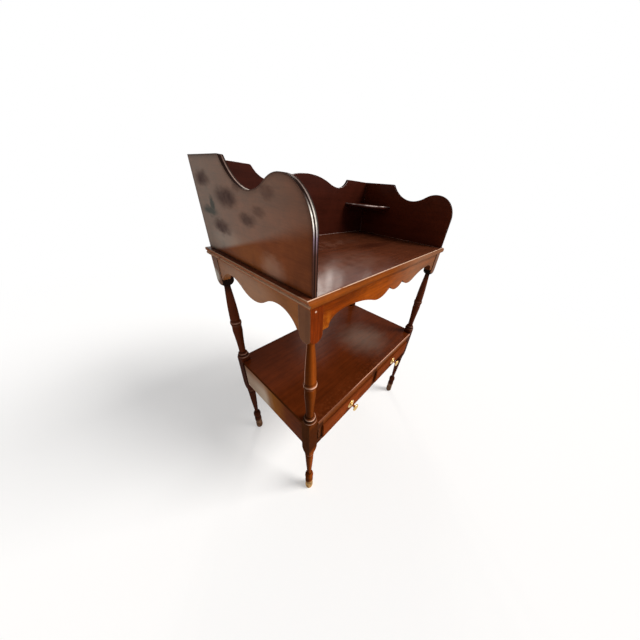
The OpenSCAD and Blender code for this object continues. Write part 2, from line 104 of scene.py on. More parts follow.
def soften(name, width, steps=2):
    source = nodes[name]
    piece = bpy.data.objects.new("soft_" + name, source.data.copy())
    bpy.context.scene.collection.objects.link(piece)
    pick(piece)
    bpy.ops.object.mode_set(mode="EDIT")
    bpy.ops.mesh.select_all(action="SELECT")
    bpy.ops.mesh.remove_doubles(threshold=MERGE)
    bpy.ops.mesh.dissolve_limited(angle_limit=FLAT)
    bpy.ops.mesh.select_all(action="DESELECT")
    bpy.ops.object.mode_set(mode="OBJECT")
    bpy.ops.object.modifier_add(type="BEVEL")
    arris = piece.modifiers[-1]
    arris.width = width
    arris.segments = steps
    arris.limit_method = "ANGLE"
    arris.angle_limit = CORNER
    bpy.ops.object.modifier_apply(modifier=arris.name)
    bpy.ops.object.shade_smooth_by_angle(angle=CORNER)
    bpy.ops.object.modifier_add(type="WEIGHTED_NORMAL")
    flats = piece.modifiers[-1]
    flats.keep_sharp = True
    bpy.ops.object.modifier_apply(modifier=flats.name)
    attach(piece, body_of[name])
    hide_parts(name)
    soft[name] = piece
    return len(piece.data.polygons)

# %% Round the pieces that show
widths = {"leg": 0.0011, "apron": 0.0009, "tabletop": 0.0012, "gallery": 0.0026, "corner_shelf": 0.0008,
    "low_shelf": 0.0009, "case_left": 0.0008, "case_right": 0.0008, "case_back": 0.0008, "rail": 0.0007,
    "stile": 0.0005, "drawer_front": 0.0007, "knob_plate": 0.0003, "knob_l": 0.0003, "knob_r": 0.0003}
for name in sorted(nodes):
    key = next((k for k in widths if name.startswith(k)), None)
    if key and name not in ("gallery_screws", "apron_pins"):
        print(name, soften(name, widths[key]), "faces")
bpy.ops.object.select_all(action="DESELECT")

# %% [markdown]
# ## Floor, world and lamps
# Polished wood shows what is round it, so the surroundings matter as much as the lamps.
# The floor is plain and pale. Part of its brightness is given straight to the camera and to
# reflections, through Light Path, so it reads as a white sheet and still keeps the shadow.
# The world is white the same way and lights everything else softly. Broad daylight falls
# from the front right, and narrow lamps high behind on the right stand for window panes:
# their reflections are the pale streaks on the top.

# %% Floor
NEAR, FAR, NEAR_SHARE = 1.3, 3.0, 0.33
bpy.ops.mesh.primitive_plane_add(size=60, location=(0, 0, 0))
floor = bpy.context.object
floor.name = "floor"

def background_rays(tree):
    path = tree.nodes.new("ShaderNodeLightPath")
    seen = tree.nodes.new("ShaderNodeMath")
    seen.operation = "MAXIMUM"
    shown = tree.nodes.new("ShaderNodeMath")
    shown.operation = "MAXIMUM"
    tree.links.new(path.outputs["Is Camera Ray"], seen.inputs[0])
    tree.links.new(path.outputs["Is Glossy Ray"], seen.inputs[1])
    tree.links.new(seen.outputs[0], shown.inputs[0])
    tree.links.new(path.outputs["Is Transmission Ray"], shown.inputs[1])
    return shown.outputs[0]

floor_paint = bpy.data.materials.new("floor_paint")
floor_paint.use_nodes = True
tree = floor_paint.node_tree
paint = tree.nodes["Principled BSDF"]
paint.inputs["Base Color"].default_value = (0.97, 0.975, 0.985, 1)
paint.inputs["Roughness"].default_value = 0.9
paint.inputs["Specular IOR Level"].default_value = 0.1
sheet = tree.nodes.new("ShaderNodeEmission")
sheet.inputs["Color"].default_value = (1, 1, 1, 1)
share = tree.nodes.new("ShaderNodeMath")
share.operation = "MULTIPLY"
far = tree.nodes.new("ShaderNodeMapRange")
far.inputs["From Min"].default_value = NEAR
far.inputs["From Max"].default_value = FAR
far.inputs["To Min"].default_value = NEAR_SHARE
far.inputs["To Max"].default_value = 1.0
where = tree.nodes.new("ShaderNodeTexCoord")
reach = tree.nodes.new("ShaderNodeVectorMath")
reach.operation = "LENGTH"
tree.links.new(where.outputs["Object"], reach.inputs[0])
tree.links.new(reach.outputs["Value"], far.inputs["Value"])
tree.links.new(far.outputs["Result"], share.inputs[1])
both = tree.nodes.new("ShaderNodeMixShader")
tree.links.new(background_rays(tree), share.inputs[0])
tree.links.new(share.outputs[0], both.inputs["Fac"])
tree.links.new(paint.outputs[0], both.inputs[1])
tree.links.new(sheet.outputs[0], both.inputs[2])
tree.links.new(both.outputs[0], tree.nodes["Material Output"].inputs["Surface"])
floor.data.materials.append(floor_paint)
print("floor", [round(v, 2) for v in floor.dimensions])

# %% World
world = bpy.data.worlds.new("pale_room")
bpy.context.scene.world = world
world.use_nodes = True
room = world.node_tree
room.nodes.clear()
white = room.nodes.new("ShaderNodeBackground")
white.inputs["Color"].default_value = (1, 1, 1, 1)
white.inputs["Strength"].default_value = 1.0
haze = room.nodes.new("ShaderNodeBackground")
haze.inputs["Color"].default_value = (1.0, 0.99, 0.98, 1)
haze.inputs["Strength"].default_value = 0.32
either = room.nodes.new("ShaderNodeMixShader")
sky = room.nodes.new("ShaderNodeOutputWorld")
room.links.new(background_rays(room), either.inputs["Fac"])
room.links.new(haze.outputs[0], either.inputs[1])
room.links.new(white.outputs[0], either.inputs[2])
room.links.new(either.outputs[0], sky.inputs["Surface"])
bpy.context.scene.view_settings.view_transform = "Standard"
print("world is set")

# %% Lamps
SUN_FALLS = (-3.2, 4.4, -4.6)
PANES = ((-0.46, 1.80, 0.9), (-0.34, 1.86, 1.8), (-0.22, 1.86, 1.8), (-0.10, 1.80, 0.9),
    (0.22, 1.80, 0.4), (-0.50, 2.45, 3.0), (-0.30, 2.45, 3.0))
PANE_SIZE, PANE_TINT, MIDDLE_OF_TOP = (0.08, 0.6), (1.0, 0.93, 0.86), (-0.1, -0.05, 0.777)

def lamp(name, at, aim, size, watts, tint):
    data = bpy.data.lights.new(name, "AREA")
    data.shape = "RECTANGLE"
    data.size, data.size_y = size
    data.energy = watts
    data.color = tint
    light = bpy.data.objects.new(name, data)
    bpy.context.scene.collection.objects.link(light)
    light.location = at
    light.rotation_euler = (Vector(aim) - Vector(at)).to_track_quat("-Z", "Y").to_euler()
    print("lamp", name, watts, "W")

daylight = bpy.data.lights.new("daylight", "SUN")
daylight.energy = 3.3
daylight.angle = math.radians(28)
daylight.color = (1.0, 0.975, 0.94)
sun = bpy.data.objects.new("daylight", daylight)
bpy.context.scene.collection.objects.link(sun)
sun.rotation_euler = Vector(SUN_FALLS).to_track_quat("-Z", "Y").to_euler()
for number, (along, height, watts) in enumerate(PANES):
    at = (2.05 + along, 1.5 - along, height)
    lamp("pane_" + str(number), at, MIDDLE_OF_TOP, PANE_SIZE, watts, PANE_TINT)

# %% [markdown]
# ## Wood
# The stand is mahogany or something like it, french-polished a long time ago. Its colour
# runs from near black in the gallery to orange-brown where light falls on the front.
# Streaks and fibres follow the grain, so one material is built per grain direction:
# noise textures are squeezed across the grain and stretched along it. Arrises have worn
# light, which a Bevel node can find, because it bends the normal only near an edge. Where
# pieces meet, the Ambient Occlusion node darkens the colour: partly dust that the polish
# holds there, partly painted shade.

# %% Shader helpers
def add(tree, kind, inputs=(), **settings):
    made = tree.nodes.new("ShaderNode" + kind)
    for key, value in settings.items():
        setattr(made, key, value)
    for key, value in dict(inputs).items():
        made.inputs[key].default_value = value
    return made

def noise(tree, vector, scale, detail=4.0, rough=0.55):
    made = add(tree, "TexNoise", {"Scale": scale, "Detail": detail, "Roughness": rough})
    tree.links.new(vector, made.inputs["Vector"])
    return made.outputs["Fac"]

def ramp(tree, value, stops, interpolation="LINEAR"):
    """A colour or grey for each value, stretched so that the first and last stop span the ramp."""
    first, last = stops[0][0], stops[-1][0]
    span = add(tree, "MapRange", {"From Min": first, "From Max": last})
    tree.links.new(value, span.inputs["Value"])
    made = add(tree, "ValToRGB")
    made.color_ramp.interpolation = interpolation
    elements = made.color_ramp.elements
    while len(elements) < len(stops):
        elements.new(0.5)
    for element, (place, colour) in zip(elements, stops):
        element.position = (place - first) / (last - first)
        element.color = (*colour, 1) if isinstance(colour, tuple) else (colour, colour, colour, 1)
    tree.links.new(span.outputs["Result"], made.inputs["Fac"])
    return made.outputs["Color"]

def mixed(tree, factor, a, b, blend="MIX"):
    made = add(tree, "Mix", data_type="RGBA", blend_type=blend)
    for socket, value in ((made.inputs[0], factor), (made.inputs[6], a), (made.inputs[7], b)):
        if isinstance(value, bpy.types.NodeSocket):
            tree.links.new(value, socket)
        elif isinstance(value, tuple):
            socket.default_value = (*value, 1)
        else:
            socket.default_value = value
    return made.outputs[2]

def maths(tree, operation, a, b=0.0, clamp=False):
    made = add(tree, "Math", operation=operation, use_clamp=clamp)
    for socket, value in zip(made.inputs, (a, b)):
        if isinstance(value, bpy.types.NodeSocket):
            tree.links.new(value, socket)
        else:
            socket.default_value = value
    return made.outputs[0]

def product(tree, *factors):
    result = factors[0]
    for factor in factors[1:]:
        result = maths(tree, "MULTIPLY", result, factor)
    return result

print("shader helpers are ready")

# %% Edges and corners
def edge_wear(tree, width):
    rounded = add(tree, "Bevel", {"Radius": width}, samples=6)
    flat = add(tree, "NewGeometry")
    turn = add(tree, "VectorMath", operation="DOT_PRODUCT")
    tree.links.new(rounded.outputs["Normal"], turn.inputs[0])
    tree.links.new(flat.outputs["Normal"], turn.inputs[1])
    return rounded.outputs["Normal"], maths(tree, "SUBTRACT", 1.0, turn.outputs["Value"], True)

def crevices(tree, reach):
    made = add(tree, "AmbientOcclusion", {"Distance": reach}, samples=6)
    return made.outputs["AO"]

print("edge and crevice masks are ready")

# %% Soft patches and turned bands
def patch(tree, place, centre, radii, soft=0.5, plane="YZ"):
    """1 inside a soft oval about centre, seen square on to the plane, and 0 outside it."""
    middle, squeeze = [0.0, 0.0, 0.0], [0.0, 0.0, 0.0]
    for axis, at, radius in zip(plane, centre, radii):
        middle["XYZ".index(axis)] = at
        squeeze["XYZ".index(axis)] = 1 / radius
    away = add(tree, "VectorMath", operation="SUBTRACT")
    tree.links.new(place, away.inputs[0])
    away.inputs[1].default_value = middle
    scaled = add(tree, "VectorMath", operation="MULTIPLY")
    tree.links.new(away.outputs[0], scaled.inputs[0])
    scaled.inputs[1].default_value = squeeze
    size = add(tree, "VectorMath", operation="LENGTH")
    tree.links.new(scaled.outputs[0], size.inputs[0])
    return ramp(tree, size.outputs["Value"], [(1 - soft, 1.0), (1.0, 0.0)], "EASE")

def part_of(tree, place, axis, shift=0.0):
    """One coordinate of the place, plus a shift where its zero should lie elsewhere."""
    split = add(tree, "SeparateXYZ")
    tree.links.new(place, split.inputs[0])
    return maths(tree, "ADD", split.outputs[axis], shift) if shift else split.outputs[axis]

def behind_front(tree, place):
    """How far behind the plane y = -0.2, which lies just in front of the stand."""
    return part_of(tree, place, "Y", 0.2)

def bands(tree, height, levels):
    """Peaks up a turned leg, each given as (height, half width, strength), with 0 between them."""
    peaks = 0.0
    for level, half, strength in levels:
        away = maths(tree, "ABSOLUTE", maths(tree, "SUBTRACT", height, level))
        peaks = maths(tree, "MAXIMUM", peaks, ramp(tree, away, [(0.0, strength), (half, 0.0)]))
    return peaks

def facing(tree, direction):
    """How far the surface faces a direction, from 0 for away from it to 1 for square to it."""
    flat = add(tree, "NewGeometry")
    turn = add(tree, "VectorMath", operation="DOT_PRODUCT")
    tree.links.new(flat.outputs["Normal"], turn.inputs[0])
    turn.inputs[1].default_value = direction
    return maths(tree, "ADD", maths(tree, "MULTIPLY", turn.outputs["Value"], 0.5), 0.5)

def warped(tree, place, scale, reach):
    """The place pushed about by noise, so that the rim of a stain is uneven."""
    push = add(tree, "VectorMath", operation="SCALE")
    push.inputs["Scale"].default_value = reach
    cloud = add(tree, "TexNoise", {"Scale": scale, "Detail": 2.0})
    tree.links.new(cloud.outputs["Color"], push.inputs[0])
    moved = add(tree, "VectorMath", operation="ADD")
    tree.links.new(place, moved.inputs[0])
    tree.links.new(push.outputs[0], moved.inputs[1])
    return moved.outputs[0]

print("patches and bands are ready")

# %% Grain
ALONG = {"X": (1, 24, 24), "Y": (24, 1, 24), "Z": (24, 24, 1)}

def figured(tree, place, along, tone, figure, seed):
    """Streaks, fibres and pores along the grain, then slow changes of shade over the board."""
    squeeze = add(tree, "Mapping", {"Scale": ALONG[along], "Location": (seed, seed * 0.7, seed * 1.3)})
    tree.links.new(warped(tree, place, 4.0, 0.012), squeeze.inputs["Vector"])
    grain = squeeze.outputs["Vector"]
    streaks = maths(tree, "MULTIPLY", noise(tree, grain, 3.2, 5.0, 0.62), 0.6)
    fibres = maths(tree, "MULTIPLY", noise(tree, grain, 26.0, 4.0, 0.6), 0.4)
    lines = maths(tree, "ADD", streaks, fibres)
    pores = ramp(tree, noise(tree, grain, 70.0, 2.0, 0.5), [(0.34, 0.75), (0.44, 1.0)])
    dark = tuple(c * (1 - figure) ** 1.6 for c in tone)
    light = tuple(c * (1 + figure * 1.1) for c in tone)
    colour = ramp(tree, lines, [(0.38, dark), (0.5, tone), (0.62, light)])
    colour = mixed(tree, 0.5, colour, pores, "MULTIPLY")
    mottle = ramp(tree, noise(tree, place, 26.0, 5.0, 0.65), [(0.35, 0.8), (0.65, 1.14)])
    colour = mixed(tree, 0.6, colour, mottle, "MULTIPLY")
    cloud = ramp(tree, noise(tree, place, 5.0, 2.0), [(0.32, 0.8), (0.68, 1.12)])
    colour = mixed(tree, 0.7, colour, cloud, "MULTIPLY")
    return colour, maths(tree, "ADD", maths(tree, "MULTIPLY", lines, 0.5), pores)

print("grain runs along", ", ".join(ALONG))

# %% Wear, and dirt and shade in the corners
def wear_and_corner_shade(tree, place, colour, edge, worn, wear, dirt_and_shade):
    """Arrises rubbed pale in places, and corners darkened by Ambient Occlusion: partly dirt that the
    polish holds, partly painted shade.
    """
    rubbed = ramp(tree, noise(tree, place, 45.0, 4.0, 0.65), [(0.34, 0.15), (0.58, 1.0)])
    rubbed = maths(tree, "MULTIPLY", ramp(tree, edge, [(0.02, 0.0), (0.14, wear)]), rubbed)
    colour = mixed(tree, rubbed, colour, worn)
    reach, darkest = dirt_and_shade
    # Ambient Occlusion darkens corners and joints: partly dirt, partly painted shade.
    grime_and_shade = ramp(tree, crevices(tree, reach), [(0.25, darkest), (0.75, 1.0)])
    return mixed(tree, 1.0, colour, grime_and_shade, "MULTIPLY")

# %% Polish
def polished(tree, shader, place, relief_height, soft_normal, polish, rough):
    """A clear coat over dull wood, on a surface that is nearly but not quite flat."""
    relief = add(tree, "Bump", {"Strength": 0.2, "Distance": 0.0003})
    tree.links.new(relief_height, relief.inputs["Height"])
    tree.links.new(soft_normal, relief.inputs["Normal"])
    sway = add(tree, "Bump", {"Strength": 0.15, "Distance": 0.004})
    tree.links.new(noise(tree, place, 5.0, 2.0), sway.inputs["Height"])
    tree.links.new(relief.outputs["Normal"], sway.inputs["Normal"])
    tree.links.new(sway.outputs["Normal"], shader.inputs["Normal"])
    tree.links.new(sway.outputs["Normal"], shader.inputs["Coat Normal"])
    shader.inputs["Specular IOR Level"].default_value = 0.0
    shader.inputs["Roughness"].default_value = 0.6
    shader.inputs["Coat Weight"].default_value = polish
    shader.inputs["Coat Roughness"].default_value = rough

# %% One wood
def wood(name, along, tone, worn=(0.34, 0.17, 0.08), polish=0.2, rough=0.2, figure=0.12, wear=0.8,
        edge_width=0.0012, seed=0.0, dirt_and_shade=(0.007, 0.4), marks=None):
    material = bpy.data.materials.new(name)
    material.use_nodes = True
    tree = material.node_tree
    shader = tree.nodes["Principled BSDF"]
    place = add(tree, "TexCoord").outputs["Object"]
    colour, relief_height = figured(tree, place, along, tone, figure, seed)
    soft_normal, edge = edge_wear(tree, edge_width)
    colour = wear_and_corner_shade(tree, place, colour, edge, worn, wear, dirt_and_shade)
    if marks:
        colour = marks(tree, place, colour)
    tree.links.new(colour, shader.inputs["Base Color"])
    polished(tree, shader, place, relief_height, soft_normal, polish, rough)
    print("wood", name, "with its grain along", along)
    return material

# %% [markdown]
# ## The legs
# Turning leaves rings that stick out and grooves that lie deep. The rings are painted pale,
# partly as wear from hands and cloths and partly as a painted highlight that is brightest on
# the side facing the front. The grooves are painted near black, and the toes are worn back to
# bare wood. The bands follow the Z of the object; the highlight also follows the way a face looks.

# %% Marks and painted highlights on a turned leg
# Pale crests: partly wear, partly a painted highlight.
CRESTS = ((0.2550, 0.0035, 0.25), (0.4290, 0.0022, 0.9), (0.4395, 0.0020, 1.0), (0.5540, 0.0016, 0.3),
    (0.5628, 0.0030, 1.0))
GROOVES = ((0.0760, 0.0045, 0.85), (0.1100, 0.0040, 0.85), (0.2430, 0.0045, 0.85),
    (0.4345, 0.0030, 1.0), (0.4450, 0.0035, 1.0), (0.5580, 0.0024, 0.6), (0.5700, 0.0040, 0.5))
CREST_COLOUR, GROOVE_COLOUR = (0.80, 0.50, 0.36), (0.012, 0.004, 0.002)
# NEAR_BLACK paints shade: behind the apron and under the upper blocks.
NEAR_BLACK = (0.006, 0.003, 0.002)
BARE_UP_TO, POLISHED_FROM = 0.058, 0.072
LEFT_OF_LEG, FRONT_OF_LEG = (-0.74, 0.67, 0.0), (0.30, -0.95, 0.0)

def turned_marks(tree, place, colour, rubbed=1.0, toe=(0.55, 0.31, 0.12)):
    height = part_of(tree, place, "Z")
    colour = mixed(tree, bands(tree, height, GROOVES), colour, GROOVE_COLOUR)
    patchy = ramp(tree, noise(tree, place, 60.0, 3.0, 0.6), [(0.35, 0.35 * rubbed), (0.6, rubbed)])
    # painted highlight: the pale crests are brighter on the side that faces the front
    lit_side = ramp(tree, facing(tree, FRONT_OF_LEG), [(0.30, 0.15), (0.55, 0.5), (0.85, 1.0)])
    crest = product(tree, bands(tree, height, CRESTS), patchy, lit_side)
    colour = mixed(tree, crest, colour, CREST_COLOUR)
    ragged = maths(tree, "ADD", height, maths(tree, "MULTIPLY", noise(tree, place, 90.0), 0.016))
    bare = ramp(tree, ragged, [(BARE_UP_TO, 1.0), (POLISHED_FROM, 0.0)])
    stained = ramp(tree, noise(tree, place, 70.0, 3.0), [(0.42, 0.0), (0.6, 0.8)])
    return mixed(tree, bare, colour, mixed(tree, stained, toe, tuple(c * 0.4 for c in toe)))

# %% Painted shade and a painted reflection on the front left leg
SHADE_BY_SIDE = [(0.0, 0.6), (0.1, 0.75), (0.27, 1.0), (0.40, 0.74), (0.50, 0.54), (0.64, 0.38),
    (0.70, 0.3), (1.0, 0.3)]
SHADE_BY_HEIGHT = [(0.27, 1.0), (0.30, 0.24), (0.40, 0.24), (0.425, 0.5), (0.54, 0.62), (0.57, 1.0)]
REFLECTION_BY_SIDE = [(0.91, 0.0), (0.93, 1.0), (0.96, 1.0), (0.975, 0.0)]
REFLECTION_BY_HEIGHT = [(0.44, 0.0), (0.50, 0.35), (0.55, 0.4), (0.565, 1.0), (0.685, 1.0), (0.70, 0.0)]

def front_leg_painted_light(tree, place, colour):
    """Painted shade, dark on the left where no window lights it and low down on the leg, with a painted
    reflection as a thin pale streak.
    """
    height = part_of(tree, place, "Z")
    left = facing(tree, LEFT_OF_LEG)
    side = ramp(tree, left, SHADE_BY_SIDE)
    low = ramp(tree, height, SHADE_BY_HEIGHT)
    colour = mixed(tree, 1.0, mixed(tree, 1.0, colour, side, "MULTIPLY"), low, "MULTIPLY")
    # painted reflection: a thin pale streak up the left of the leg
    reflection_streak = product(tree, ramp(tree, left, REFLECTION_BY_SIDE), ramp(tree, height, REFLECTION_BY_HEIGHT))
    colour = mixed(tree, reflection_streak, colour, (0.48, 0.24, 0.17))
    return turned_marks(tree, place, colour)

# %% Painted black round the upper blocks, as shade
NECK_FOOT, NECK_TOP = 0.682, 0.703
NECK_SHADE = [(NECK_FOOT - 0.03, 0.0), (NECK_FOOT, 0.92), (NECK_TOP, 0.92), (NECK_TOP + 0.001, 0.0)]
APRON_FACE = 0.0375

def inner_side(tree, place, colour):
    """The side of a front block that meets the apron: painted shade, black behind the apron's face, lit
    colour in front of it.
    """
    behind = ramp(tree, behind_front(tree, place), [(APRON_FACE, 0.0), (APRON_FACE + 0.001, 1.0)])
    return mixed(tree, behind, colour, NEAR_BLACK)

def neck_and_low_shade(tree, place, colour):
    """Painted shade: the turned part just under a square block is near black, and the leg is darker
    below the low shelf.
    """
    height = part_of(tree, place, "Z")
    # painted shade: darker below the low shelf
    colour = mixed(tree, 1.0, colour, ramp(tree, height, [(0.40, 0.55), (0.44, 1.0)]), "MULTIPLY")
    colour = turned_marks(tree, place, colour, 0.4, (0.20, 0.10, 0.055))
    return mixed(tree, ramp(tree, height, NECK_SHADE), colour, NEAR_BLACK)

# %% Leg woods: lit and shaded copies of one wood, with painted light
# The front left leg is painted lighter as if lit, the other legs darker as if shaded.
leg_lit = wood("leg_lit", "Z", (0.27, 0.056, 0.005), (0.40, 0.20, 0.10), polish=0.03,
    seed=0.4, wear=0.6, dirt_and_shade=(0.012, 0.3), marks=front_leg_painted_light)
# painted shade: the left face of the front left leg's low block
block_low_shaded = wood("block_low_shaded", "Z", (0.060, 0.016, 0.003), (0.34, 0.14, 0.05), polish=0.02,
    seed=0.4, wear=0.5)
leg_shaded = wood("leg_shaded", "Z", (0.090, 0.018, 0.005), (0.26, 0.14, 0.09), polish=0.06,
    seed=2.9, wear=0.8, dirt_and_shade=(0.014, 0.2), marks=neck_and_low_shade)
block_inner = wood("block_inner", "Z", (0.200, 0.075, 0.032), (0.40, 0.26, 0.18), polish=0.05,
    seed=3.6, dirt_and_shade=(0.003, 0.9), marks=inner_side)
block_front = wood("block_front", "Z", (0.155, 0.022, 0.002), (0.34, 0.12, 0.03), polish=0.03,
    figure=0.35, seed=16.4, wear=0.6)

# %% [markdown]
# ## The sides
# The left end of the stand faces a bright room, which its polish mirrors. A painted
# reflection lies over the upper part of the gallery board: a pale veil with dark spots and a
# teal smear in it, over a golden glow. Painted reflections and painted shade make lighter
# patches and darker stretches on the apron and on the drawer case.

# %% Painted reflection on the gallery board
REFLECTION_FOOT, REFLECTION_FALL = 0.824, 0.29

def reflection_amount(tree, place):
    """The painted reflection lies over a slanting border, sharp at the back of the board and soft at
    the front.
    """
    across = part_of(tree, place, "Y")
    slant = maths(tree, "ADD", part_of(tree, place, "Z"), maths(tree, "MULTIPLY", across, REFLECTION_FALL))
    rise = maths(tree, "SUBTRACT", slant, REFLECTION_FOOT)
    run = behind_front(tree, place)
    sharp = ramp(tree, run, [(0.08, 0.35), (0.20, 1.0)])
    over = ramp(tree, maths(tree, "MULTIPLY", rise, sharp), [(-0.005, 0.0), (0.006, 1.0)], "EASE")
    return product(tree, over, ramp(tree, run, [(0.03, 0.4), (0.12, 0.62), (0.34, 1.0)]))

def reflected_veil(tree, uneven, amount, colour):
    """Painted reflection: a golden glow under a pale veil, then the veil, thicker in two patches."""
    glow = patch(tree, uneven, (0.015, 0.805), (0.10, 0.045), 0.8)
    low = patch(tree, uneven, (-0.058, 0.800), (0.048, 0.034), 0.8)
    behind = patch(tree, uneven, (0.095, 0.817), (0.09, 0.035), 0.8)
    # painted reflection: golden glow, pale veil and its thicker patches
    colour = mixed(tree, product(tree, glow, 0.5), colour, (0.27, 0.082, 0.016))
    colour = mixed(tree, low, colour, (0.11, 0.090, 0.070), "ADD")
    colour = mixed(tree, amount, colour, (0.075, 0.115, 0.108), "ADD")
    return mixed(tree, product(tree, behind, amount), colour, (0.07, 0.07, 0.06), "ADD")

# %% Painted reflection of dark spots, and painted shade near the rims
SPOTS = ((0.150, 0.914, 0.017), (0.064, 0.889, 0.022), (0.104, 0.834, 0.019), (-0.002, 0.862, 0.014),
    (-0.040, 0.878, 0.010), (-0.070, 0.906, 0.010), (0.020, 0.905, 0.008))
SPOT_SHIFT, SPOT_WIDER, SPOT_TALLER, FULL_SPOT = 0.007, 2.6, 1.05, 0.017

def reflected_blotches(tree, place, uneven, colour):
    dark = 0.0
    for y, z, radius in SPOTS:
        spot = patch(tree, uneven, (y + SPOT_SHIFT, z + SPOT_SHIFT),
            (radius * SPOT_WIDER, radius * SPOT_TALLER), 0.75)
        dark = maths(tree, "MAXIMUM", dark, product(tree, spot, min(1.0, radius / FULL_SPOT)))
    # painted reflection: dark blotches in the veil
    blotch = product(tree, dark, ramp(tree, noise(tree, place, 55.0, 3.0), [(0.3, 0.75), (0.65, 1.0)]))
    colour = mixed(tree, blotch, colour, (0.060, 0.028, 0.021))
    # painted reflection: a teal smear
    smear = maths(tree, "MAXIMUM", patch(tree, uneven, (0.152, 0.866), (0.045, 0.013), 0.7),
        patch(tree, uneven, (0.134, 0.880), (0.014, 0.020), 0.7))
    return mixed(tree, product(tree, smear, 0.85), colour, (0.050, 0.055, 0.046))

def reflection_on_board(tree, place, colour):
    uneven = warped(tree, place, 22.0, 0.014)
    colour = reflected_veil(tree, uneven, reflection_amount(tree, place), colour)
    colour = reflected_blotches(tree, place, uneven, colour)
    # painted shade: darker towards the front and near the board's edges
    front = ramp(tree, behind_front(tree, place), [(0.025, 0.82), (0.10, 1.0)])
    broad = ramp(tree, edge_wear(tree, 0.016)[1], [(0.0, 1.0), (0.10, 0.68)])
    colour = mixed(tree, 1.0, mixed(tree, 1.0, colour, front, "MULTIPLY"), broad, "MULTIPLY")
    rim = ramp(tree, edge_wear(tree, 0.006)[1], [(0.01, 0.0), (0.06, 0.75)])
    return mixed(tree, rim, colour, (0.035, 0.012, 0.008))

# %% Painted reflections and shade on the apron and the case
CASE_SHADE = [(0.07, (0.42, 0.28, 0.10)), (0.112, (0.53, 0.34, 0.14)), (0.15, (0.66, 0.46, 0.2)),
    (0.187, (1.13, 1.14, 0.64)), (0.22, (1.24, 1.5, 1.1)), (0.26, 1.0)]
CASE_REFLECTION = [(0.208, 0.0), (0.230, 0.2), (0.256, 1.0), (0.285, 0.9), (0.33, 0.65)]

def apron_reflections(tree, place, colour):
    """Painted reflections, pale in the middle and by the back leg, on the left end only."""
    uneven = warped(tree, place, 20.0, 0.012)
    middle = patch(tree, uneven, (0.048, 0.738), (0.16, 0.05), 0.7)
    back = patch(tree, uneven, (0.196, 0.716), (0.022, 0.022), 0.5)
    left_end = ramp(tree, part_of(tree, place, "X"), [(-0.05, 1.0), (0.05, 0.0)])
    colour = mixed(tree, product(tree, middle, left_end), colour, (0.07, 0.075, 0.065), "ADD")
    return mixed(tree, product(tree, back, left_end), colour, (0.22, 0.25, 0.22), "ADD")

def case_light_and_reflections(tree, place, colour):
    """Painted light and reflections: pale towards the back, then golden, then painted shade by the
    front leg.
    """
    unsteady = maths(tree, "MULTIPLY", noise(tree, place, 18.0, 2.0), 0.03)
    along = maths(tree, "ADD", part_of(tree, place, "Y", 0.195), unsteady)
    # painted shade and light along the case, by CASE_SHADE
    colour = mixed(tree, 1.0, colour, ramp(tree, along, CASE_SHADE), "MULTIPLY")
    low = ramp(tree, part_of(tree, place, "Z", -0.3), [(0.055, 1.0), (0.09, 0.35)])
    # painted reflection: pale towards the back
    pale = product(tree, ramp(tree, along, CASE_REFLECTION), low)
    return mixed(tree, pale, colour, (0.28, 0.32, 0.28), "ADD")

# %% Side woods
side_plain = wood("side_plain", "Y", (0.15, 0.038, 0.009), polish=0.15, figure=0.1, seed=1.7)
# block_side: the blocks' side faces, with the apron's painted reflections
block_side = wood("block_side", "Z", (0.150, 0.053, 0.019), (0.40, 0.26, 0.18), polish=0.2,
    seed=3.6, marks=apron_reflections)
# side_red: the left apron, lighter and yellower than side_plain, partly a painted reflection
side_red = wood("side_red", "Y", (0.25, 0.082, 0.018), polish=0.2, figure=0.1, seed=1.7,
    marks=apron_reflections)
case_red = wood("case_red", "Y", (0.21, 0.060, 0.011), polish=0.06, seed=4.9, marks=case_light_and_reflections)
gallery_ends = wood("gallery_ends", "Y", (0.180, 0.047, 0.013), (0.50, 0.42, 0.38), polish=0.10,
    rough=0.18, figure=0.1, wear=0.3, seed=2.2, marks=reflection_on_board)

# %% [markdown]
# ## The front and the flat boards
# The front is orange-brown, with painted shade by the left leg and a painted reflection
# over its right end, and the nosings of the top and the shelf are lit copies, painted lighter.
# The top and the low shelf are darker and keep more of their polish, with painted light and
# reflections on them, and pale dust lies where the gallery stands on the top.

# %% Dust along the gallery's foot
GALLERY_X, GALLERY_Y, DUST_COLOUR = 0.301, 0.1848, (0.52, 0.32, 0.27)
DUST_WIDTH = [(0.0, 1.0), (0.0016, 0.8), (0.0026, 0.0)]

def side_distance(tree, place):
    out = maths(tree, "ABSOLUTE", part_of(tree, place, "X"))
    return maths(tree, "ABSOLUTE", maths(tree, "SUBTRACT", out, GALLERY_X))

def foot_dust(tree, place, colour):
    """Thin pale lines where the gallery meets the top."""
    back = maths(tree, "ABSOLUTE", maths(tree, "SUBTRACT", part_of(tree, place, "Y"), GALLERY_Y))
    near = ramp(tree, maths(tree, "MINIMUM", side_distance(tree, place), back), DUST_WIDTH)
    broken = ramp(tree, noise(tree, place, 50.0, 3.0), [(0.3, 0.7), (0.6, 1.0)])
    return mixed(tree, product(tree, near, broken), colour, DUST_COLOUR)

def corner_dust(tree, place, colour):
    """The same dust, faint, up the gallery's corners."""
    near = ramp(tree, side_distance(tree, place), DUST_WIDTH)
    faint = ramp(tree, part_of(tree, place, "Z", -0.7), [(0.08, 0.5), (0.13, 0.06), (0.25, 0.10)])
    return mixed(tree, product(tree, near, faint), colour, DUST_COLOUR)

